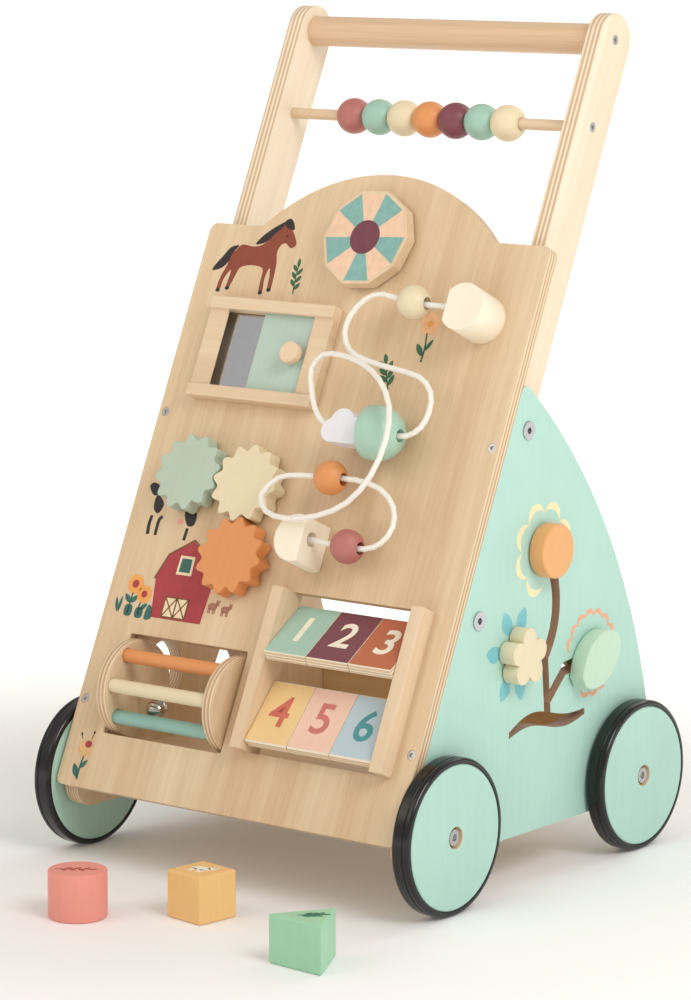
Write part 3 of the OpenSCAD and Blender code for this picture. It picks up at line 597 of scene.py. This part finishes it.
def oval(centre, rx, ry=None, count=28, turn=0.0):
    """Ellipse with radii rx and ry, turned by an angle in degrees."""
    a = np.linspace(0, 2 * np.pi, count, endpoint=False)
    x, y = rx * np.cos(a), (ry or rx) * np.sin(a)
    c, s = math.cos(math.radians(turn)), math.sin(math.radians(turn))
    return np.asarray(centre, float) + np.stack([c * x - s * y, s * x + c * y], 1)


def scalloped(centre, radius, lobes, depth, turn=0.0):
    """Flower outline: radius + depth |cos(lobes a / 2)|, so each lobe is one round bump."""
    a = np.linspace(0, 2 * np.pi, lobes * 10, endpoint=False)
    r = radius - depth + depth * np.abs(np.cos(lobes * a / 2)) ** 0.6
    return np.asarray(centre, float) + np.stack([r * np.cos(a + turn), r * np.sin(a + turn)], 1)


def crescent(centre, radius, wall, facing, span=95):
    """New-moon shape: an outer arc and, moved back by wall, a flatter inner arc."""
    a = np.radians(np.linspace(-span, span, 15))
    outer = radius * np.stack([np.cos(a), np.sin(a)], 1)
    inner = np.stack([(radius - wall) * np.cos(a) - 0.15 * wall, (radius - 0.2 * wall) * np.sin(a)], 1)
    loop = np.vstack([outer, inner[-2:0:-1]])
    c, s = math.cos(facing), math.sin(facing)
    return np.asarray(centre, float) + loop @ np.array([[c, s], [-s, c]])


def on_side(y, z, height):
    """A point on the right side panel's outer face, height outside it, all in mm."""
    return np.stack([side_x + height, y, z], -1) * mm


def on_face(u, v, height):
    """A point on the activity panel's face, height in front of it, all in mm."""
    return on_panel(u, -height, v)


def printed(name, loops, material, place, body="frame", layer=1):
    """One print of several closed outlines. Each is a prism that starts ink_depth inside the
    surface and ends layer coats above it: back ring, front ring and the walls between."""
    points, faces = [], []
    start = 0
    for loop in loops:
        loop = np.asarray(loop, float)
        x, y = loop.T
        if np.sum(x * np.roll(y, -1) - np.roll(x, -1) * y) < 0:
            loop = loop[::-1]
        n = len(loop)
        for height in (-ink_depth, ink_coat * layer):
            points.append(place(loop[:, 0], loop[:, 1], np.full(n, height)))
        back = np.arange(start, start + n)
        front = back + n
        faces.append(back[::-1].tolist())
        faces.append(front.tolist())
        faces += np.stack([back, np.roll(back, -1), np.roll(front, -1), front], 1).tolist()
        start += 2 * n
    piece = make_piece(name, np.concatenate(points), faces, material)
    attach(piece, body)


# ---- Horse print ----
# A brown horse with a black mane, tail and hooves, printed in the panel's upper left corner
# in two coats.

brown_ink = ink("brown_ink", (0.26, 0.055, 0.025))
black_ink = ink("black_ink", (0.022, 0.018, 0.020))
horse_body = [(-121, 403), (-116, 408), (-106, 407), (-98, 409), (-91, 416), (-86, 423), (-83, 427),
              (-80, 424), (-75, 422), (-69, 414), (-68, 410), (-72, 408), (-77, 411), (-81, 410),
              (-83, 404), (-81, 396), (-80, 386), (-80, 376), (-83, 376), (-84, 386), (-86, 392),
              (-88, 384), (-87, 374), (-90, 373), (-91, 382), (-92, 391), (-102, 393), (-112, 391),
              (-115, 385), (-118, 375), (-121, 375), (-120, 385), (-121, 388), (-125, 381),
              (-126, 373), (-129, 373), (-128, 383), (-125, 392), (-124, 400)]
horse_mane = [(-104, 409), (-100, 415), (-93, 421), (-87, 425), (-83, 427), (-84, 423), (-89, 418),
              (-96, 411)]
horse_forelock = [(-83, 427), (-79, 430), (-75, 427), (-73, 422), (-77, 422), (-80, 423)]
horse_tail = [(-119, 407), (-126, 405), (-131, 398), (-136, 391), (-137, 387), (-130, 389),
              (-125, 394), (-123, 401)]
hooves = [(-81.5, 375.5), (-88.5, 373), (-119.5, 374.5), (-127.5, 372.5)]
printed("horse_body", [curve_through(horse_body, 4)], brown_ink, on_face)
printed("horse_hair", [curve_through(shape) for shape in (horse_mane, horse_forelock, horse_tail)]
        + [oval(at, 1.9, 1.5, 14) for at in hooves] + [oval((-78, 416.5), 0.8, count=12)],
        black_ink, on_face, layer=2)

# ---- Leaf sprigs ----
# Green stems with paired leaves, printed in one coat: one beside the horse and one behind
# the maze.


def sprig(base, tip, pairs, size):
    """A stem with pairs of leaves that leave it at 40 degrees, and one leaf at its end."""
    base, tip = np.asarray(base, float), np.asarray(tip, float)
    stem = tip - base
    along = stem / np.linalg.norm(stem)
    side = np.array([-along[1], along[0]])
    loops = [stroke([base, base + 0.5 * stem + 0.4 * side, tip], 1.1, 0.7)]
    for i in range(pairs):
        for hand in (-1, 1):
            root = base + stem * (0.2 + 0.75 * (i + 0.25 * hand) / pairs)
            out = 0.77 * along + 0.64 * hand * side
            loops.append(leaf(root, root + out * size, size * 0.42))
    loops.append(leaf(tip - 0.1 * stem, tip + along * size * 0.7, size * 0.4))
    return loops


green_ink = ink("green_ink", (0.030, 0.13, 0.065))
printed("sprig_by_horse", sprig((-59, 374), (-60.5, 396), 3, 7), green_ink, on_face)
printed("sprig_by_maze", sprig((46, 311), (38, 331), 3, 9), green_ink, on_face)

# ---- Small flowers ----
# Two flowers on green stems: a peach one beside the maze's upper post, and an ochre one with
# a berry in the lower corner.

peach_ink = ink("peach_ink", (0.86, 0.50, 0.27))
gold_ink = ink("gold_ink", (0.84, 0.38, 0.09))
pine_ink = ink("pine_ink", (0.035, 0.14, 0.12))
corner_ink = ink("corner_ink", (0.74, 0.45, 0.20))
red_ink = ink("red_ink", (0.40, 0.045, 0.055))
printed("flower_leaves", [stroke([(67, 333), (67.5, 343), (66, 354)], 1.6, 1.2),
                          leaf((67, 337), (60, 346), 4.6), leaf((67.5, 341), (73, 350), 3.0)],
        green_ink, on_face)
printed("flower_head", [scalloped((67, 361), 8.5, 5, 2.2, 0.3)], peach_ink, on_face)
printed("flower_middle", [oval((67, 361), 2.6, 2.2)], gold_ink, on_face, layer=2)
printed("corner_leaves", [stroke([(-132, 5), (-132, 14), (-131, 23)], 1.7, 1.2),
                          leaf((-132, 6), (-138, 16), 5.2), leaf((-132, 13), (-126.5, 20), 3.2)],
        pine_ink, on_face)
printed("corner_flower", [scalloped((-132, 27.5), 6.4, 5, 1.5, 0.9)], corner_ink, on_face)
printed("corner_berry", [oval((-129.5, 31), 3.0, 2.6)], red_ink, on_face, layer=2)
printed("corner_seeds", [oval((-138, 37.5), 0.8, 1.1, 12), oval((-127, 40), 0.8, 1.1, 12),
                         stroke([(-137.7, 36.8), (-136, 34)], 0.5),
                         stroke([(-127.3, 39), (-128, 35)], 0.5)], black_ink, on_face)

# ---- Cow print ----
# A cow, mostly hidden by the mint gear: its black patches, its legs and its pink muzzle show
# round the teeth.

pink_ink = ink("pink_ink", (0.78, 0.34, 0.32))
printed("cow_patches", [curve_through([(-139, 222), (-136, 225), (-130, 223), (-129, 217), (-134, 216)]),
                        curve_through([(-131, 214), (-128, 216), (-122, 210), (-125, 203), (-130, 206)]),
                        curve_through([(-101, 206), (-96, 209), (-90, 206), (-90, 198), (-96, 197)]),
                        stroke([(-130, 201), (-130.5, 194), (-129.5, 187)], 2.6, 3.0),
                        stroke([(-120, 201), (-122.5, 198), (-122.5, 187)], 2.6, 2.6),
                        stroke([(-95, 195), (-95.5, 186)], 2.4, 2.8)], black_ink, on_face)
printed("cow_muzzle", [oval((-103, 199), 2.6, 2.2)], pink_ink, on_face)

# ---- Barn print ----
# A red barn with a gambrel roof, a green window and crossed plank doors, printed in up to
# three coats.

trim_ink = ink("trim_ink", (0.22, 0.09, 0.035))
cream_ink = ink("cream_ink", (0.86, 0.72, 0.48))
barn_wall = [(-106, 128), (-61, 128), (-59, 157), (-66, 174), (-85, 186), (-104, 174), (-111, 157)]
barn_roof = [(-112, 156), (-104.5, 174.5), (-85, 187), (-65.5, 174.5), (-58, 156)]
printed("barn_wall", [barn_wall], red_ink, on_face)
printed("barn_trim", [stroke(barn_roof, 1.5, steps=1)], trim_ink, on_face, layer=2)
printed("barn_window_frame", [[(-94, 161), (-80, 161), (-80.5, 175), (-93.5, 175)]], cream_ink,
        on_face, layer=2)
printed("barn_window", [[(-92, 163), (-82, 163), (-82.4, 173), (-91.6, 173)]], pine_ink, on_face, layer=3)


def planks(left, low, right, high, width):
    """Two door leaves: a border round each, and a cross in it."""
    middle = (left + right) / 2
    loops = []
    for a, b in ((left, middle), (middle, right)):
        corners = [(a, low), (b, low), (b, high), (a, high)]
        for start, end in zip(corners, corners[1:] + corners[:1]):
            loops.append(stroke([start, end], width, steps=1))
        loops.append(stroke([corners[0], corners[2]], width, steps=1))
        loops.append(stroke([corners[1], corners[3]], width, steps=1))
    return loops


left, low, right, high = -97, 129.5, -76, 144
printed("barn_door", [[(left, low), (right, low), (right, high), (left, high)]], cream_ink,
        on_face, layer=2)
printed("barn_planks", planks(left, low, right, high, 1.0), trim_ink, on_face, layer=3)

# ---- Sunflowers, leaves and lambs ----
# Two sunflowers behind a row of leaves on the barn's left, and two brown lambs on its right.

printed("sunflower_stems", [stroke([(-127, 148), (-128, 139), (-128, 128)], 1.3),
                            stroke([(-117, 142), (-119, 135), (-118, 128)], 1.3),
                            leaf((-128, 136), (-134, 142), 4), leaf((-128, 136), (-122, 142), 4),
                            leaf((-118, 132), (-112, 137), 3.6),
                            leaf((-138, 128), (-141, 139), 2.6), leaf((-137, 128), (-136, 140), 2.6),
                            curve_through([(-131, 127), (-125, 127), (-125, 134), (-131, 134)]),
                            curve_through([(-121, 126.5), (-115, 126.5), (-115, 133), (-121, 133)]),
                            curve_through([(-112, 126), (-106, 127), (-106.5, 134), (-111, 136)])],
        pine_ink, on_face)
tall_head, short_head = (-127, 150), (-117, 143.5)
printed("sunflower_heads", [scalloped(tall_head, 7.2, 10, 1.4), scalloped(short_head, 6.6, 10, 1.3)],
        gold_ink, on_face, layer=2)
printed("sunflower_middles", [oval(tall_head, 3.0), oval(short_head, 2.6)], red_ink, on_face, layer=3)


def lamb(at, size):
    """A small animal seen from the side: an oval body, a round head, two ears and four legs."""
    x, y = at
    parts = [oval((x, y), size, 0.62 * size), oval((x + 0.95 * size, y + 0.5 * size), 0.42 * size)]
    for step in (-0.7, -0.35, 0.35, 0.7):
        parts.append(stroke([(x + step * size, y - 0.3 * size), (x + step * size, y - 1.25 * size)],
                            0.3 * size, 0.24 * size))
    parts.append(leaf((x + 0.9 * size, y + 0.7 * size), (x + 0.7 * size, y + 1.25 * size), 0.3 * size))
    parts.append(leaf((x + 1.1 * size, y + 0.7 * size), (x + 1.35 * size, y + 1.2 * size), 0.3 * size))
    return parts


fawn_ink = ink("fawn_ink", (0.42, 0.20, 0.13))
printed("lambs", lamb((-54, 142), 4.2) + lamb((-42, 141), 4.0), fawn_ink, on_face)

# ---- Spinner ----
# A ten-sided beech disc that turns on a pin, printed with teal and peach wedges round a plum
# middle.

spinner_v = 416.5
spinner_front = 11.5
spinner_sides = 10
spinner_turn = math.radians(3.4)
spinner_rim = 34.0
spinner_hub = 12.6


def on_spinner(u, v, height):
    """A point on the spinner's face, measured from its middle."""
    return on_panel(u, -spinner_front - height, spinner_v + v)


def wedge(index):
    """One of the ten wedges: two corners of a smaller decagon and an arc round the hub."""
    a = spinner_turn + 2 * math.pi / spinner_sides * (index + np.array([0, 1]))
    rim = spinner_rim * np.stack([np.cos(a), np.sin(a)], 1)
    arc = np.linspace(a[1], a[0], 7)
    return np.vstack([rim, spinner_hub * np.stack([np.cos(arc), np.sin(arc)], 1)])


spinner_teal = ink("spinner_teal", (0.22, 0.44, 0.40))
spinner_peach = ink("spinner_peach", (0.84, 0.58, 0.40))
spinner_plum = ink("spinner_plum", (0.17, 0.045, 0.065))
dress("spinner", rail_upright, 0.6)
for index in range(spinner_sides):
    printed(f"spinner_wedge_{index + 1}", [wedge(index)], spinner_teal if index % 2 else spinner_peach,
            on_spinner, "spinner_body")
printed("spinner_middle", [oval((0, 0), spinner_hub, count=48)], spinner_plum, on_spinner,
        "spinner_body")

# ---- Side prints ----
# Petals printed on the right side panel, so that each knob becomes a flower's middle: cream
# round the upper knob, blue and coral round the lower two.

petal_cream = ink("petal_cream", (0.90, 0.80, 0.48))
petal_blue = ink("petal_blue", (0.20, 0.55, 0.60))
petal_coral = ink("petal_coral", (0.88, 0.42, 0.25))
round_at = np.array([169.0, 231.0])
flower_at = np.array([136.0, 162.0])
leaf_at = np.array([229.0, 149.0])


def around(centre, radius, angle):
    """A point at radius and angle, in degrees, from the centre."""
    a = math.radians(angle)
    return centre + radius * np.array([math.cos(a), math.sin(a)])


round_petals = [crescent(around(round_at, 24.5, angle), 9.5, 4.6, math.radians(angle))
                for angle in (20, 65, 110, 155, 200, 245, 335)]
pointed_petals = [leaf(around(flower_at, 15, angle - 8), around(flower_at, 34, angle), 12, 1.5)
                  for angle in (70, 112, 170, 242, 285)]
scalloped_petals = [crescent(around(leaf_at, 26.5, angle), 5.4, 3.0, math.radians(angle))
                    for angle in range(-104, 170, 22)]
printed("round_petals", round_petals, petal_cream, on_side)
printed("pointed_petals", pointed_petals, petal_blue, on_side)
printed("scalloped_petals", scalloped_petals, petal_coral, on_side)

# ---- Number tiles ----
# Six wooden bars that turn on the two rods of their frame, painted on their faces, with pale
# bare edges, and printed with their numbers.

tile_t = 7
tile_step = 36.3
first_tile_u = 31.95
row_n = -1
rows = [(132, math.radians(34)), (74, math.radians(18.5))]
font_size = 33.75
figure_swell = 0.5
figure_depth = 0.09
figure_lift = 0.06


def tile_paint(name, color, turn):
    """Paint where the surface looks straight out of the tile's face, and layered pale wood on
    the rest."""
    material = painted(name, color, (turn, 0, 0))
    tree, shader, paint = paint_parts(material)
    place = add_node(tree, "TexCoord")
    facing = add_node(tree, "Mapping", {"Vector": place.outputs["Normal"], "Rotation": (turn, 0, 0)})
    toward = add_node(tree, "SeparateXYZ", {0: facing.outputs[0]}).outputs["Y"]
    edge = add_node(tree, "Math", {0: toward, 1: -0.9}, operation="GREATER_THAN").outputs[0]
    turned = add_node(tree, "Mapping", {"Vector": place.outputs["Object"], "Rotation": (turn, 0, 0)})
    depth = add_node(tree, "SeparateXYZ", {0: turned.outputs[0]}).outputs["Y"]
    layers = add_node(tree, "Group", {"Color": (0.86, 0.78, 0.62, 1), "Depth": depth,
                                      "Pitch": 2.4 * mm}, node_tree=ply_edge)
    bare = add_node(tree, "MixRGB", {"Fac": edge, "Color1": paint, "Color2": layers.outputs[0]})
    tree.links.new(bare.outputs[0], shader.inputs["Base Color"])
    return material


def tile_figure(number, color):
    """The tile's number as an inked outline, laid on its tilted face and centred."""
    row_v, tilt = rows[(number - 1) // 3]
    text = bpy.data.curves.new(f"figure_{number}", "FONT")
    text.body = str(number)
    text.size = font_size * mm
    text.extrude = figure_depth * mm
    text.offset = figure_swell * mm
    text.align_x = "CENTER"
    text.align_y = "CENTER"
    shape = bpy.data.objects.new(f"figure_{number}_text", text)
    bpy.context.collection.objects.link(shape)
    bpy.context.view_layer.update()
    mesh = bpy.data.meshes.new_from_object(shape)
    bpy.data.objects.remove(shape)
    lean_here = lean + tilt
    out = np.array([0, -math.cos(lean_here), math.sin(lean_here)])
    up = np.array([0, math.sin(lean_here), math.cos(lean_here)])
    u = first_tile_u + tile_step * ((number - 1) % 3)
    origin = on_panel(u, row_n, row_v) + out * (tile_t / 2 + figure_lift) * mm
    mesh.transform(Matrix(((1, 0, 0, origin[0]), (0, up[1], out[1], origin[1]),
                           (0, up[2], out[2], origin[2]), (0, 0, 0, 1))))
    mesh.materials.clear()
    mesh.materials.append(ink(f"figure_ink_{number}", color))
    piece = bpy.data.objects.new(f"figure_{number}", mesh)
    bpy.context.collection.objects.link(piece)
    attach(piece, f"number_tile_{number}")


pale_figure = (0.90, 0.84, 0.68)
tile_colors = [((0.38, 0.58, 0.48), pale_figure), ((0.20, 0.06, 0.08), pale_figure),
               ((0.50, 0.15, 0.07), pale_figure), ((0.86, 0.60, 0.28), (0.62, 0.15, 0.10)),
               ((0.86, 0.58, 0.45), (0.62, 0.19, 0.17)), ((0.48, 0.60, 0.66), (0.07, 0.30, 0.32))]
for number, (face, figure) in enumerate(tile_colors, 1):
    turn = lean + rows[(number - 1) // 3][1]
    dress(f"tile_{number}", tile_paint(f"tile_paint_{number}", face, turn), 0.3)
    tile_figure(number, figure)

# ---- Loose blocks ----
# A cylinder, a cube and a triangular prism of solid wood, painted all over and printed on
# top. They lie loose on the floor.

block_h = 33
dress("block_cylinder", painted("block_coral", (0.86, 0.32, 0.26), unturned), 1.6)
dress("block_cube", painted("block_yellow", (0.89, 0.56, 0.22), unturned), 1.6)
dress("block_prism", painted("block_green", (0.36, 0.68, 0.45), unturned), 1.6)


def on_block(x, y, height):
    """A point on a block's top, all in mm."""
    return np.stack([x, y, block_h + height], -1) * mm


printed("cylinder_print", sprig((-44, -118), (-24, -104), 3, 6.5),
        ink("coral_print", (0.45, 0.08, 0.06)), on_block, "cylinder_block")
printed("cube_print", lamb((32, -57), 7.0), ink("ivory_print", (0.90, 0.86, 0.76)), on_block,
        "cube_block")
printed("prism_print", sprig((154, -108), (166, -97), 3, 7.5), ink("pine_print", (0.04, 0.20, 0.12)),
        on_block, "prism_block")
